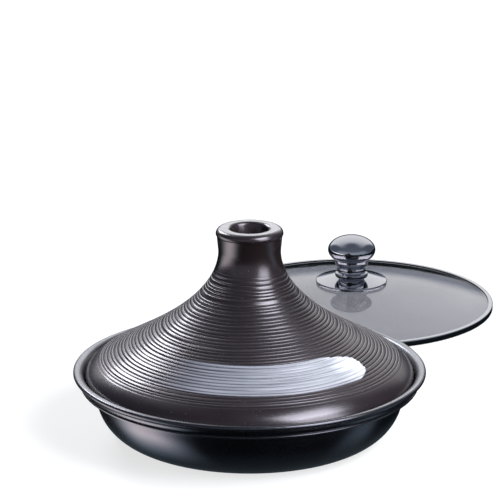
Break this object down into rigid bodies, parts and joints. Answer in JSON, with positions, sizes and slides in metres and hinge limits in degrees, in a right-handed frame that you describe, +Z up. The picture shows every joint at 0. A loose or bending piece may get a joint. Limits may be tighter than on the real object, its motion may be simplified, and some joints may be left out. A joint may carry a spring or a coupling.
{
  "type": "tagine",
  "caption": "Tagine with a shallow coated pot, a ridged stoneware cone lid that lifts out of the flared rim, and a spare domed glass lid with a steel ball knob.",
  "frame": {"origin": "centre of the pot's base, on the table", "axes": "+Z up along the pot's axis; -Y towards the viewer; the glass lid lies behind the pot, towards +Y"},
  "size_m": [0.3353, 0.5591, 0.158],
  "materials": {
    "coated_aluminium": "black non-stick coating, satin",
    "iron_glaze": "dark brown iron glaze, satin, with a brushed white slip stroke",
    "tempered_glass": "clear, slightly grey, polished",
    "polished_steel": "mirror polished",
    "plain_steel": "plain",
    "silicone": "matt"
  },
  "bodies": {
    "pot": {"pot": "coated_aluminium"},
    "cone_lid": {"cone_lid": "iron_glaze"},
    "glass_lid": {"glass_panel": "tempered_glass", "rim_band": "polished_steel", "vent_eyelet": "polished_steel", "knob_ball": "polished_steel", "knob_plate": "polished_steel", "knob_insert": "plain_steel", "knob_screw": "plain_steel", "screw_washer": "plain_steel", "upper_gasket": "silicone", "lower_gasket": "silicone"}
  },
  "joints": [
    {"name": "cone_lid_lift", "type": "slide", "parent": "pot", "child": "cone_lid", "axis": [0, 0, 1], "range_m": [0, 0.15]},
    {"name": "glass_lid_lift", "type": "slide", "parent": "pot", "child": "glass_lid", "axis": [0, 0, 1], "range_m": [0, 0.15]}
  ]
}
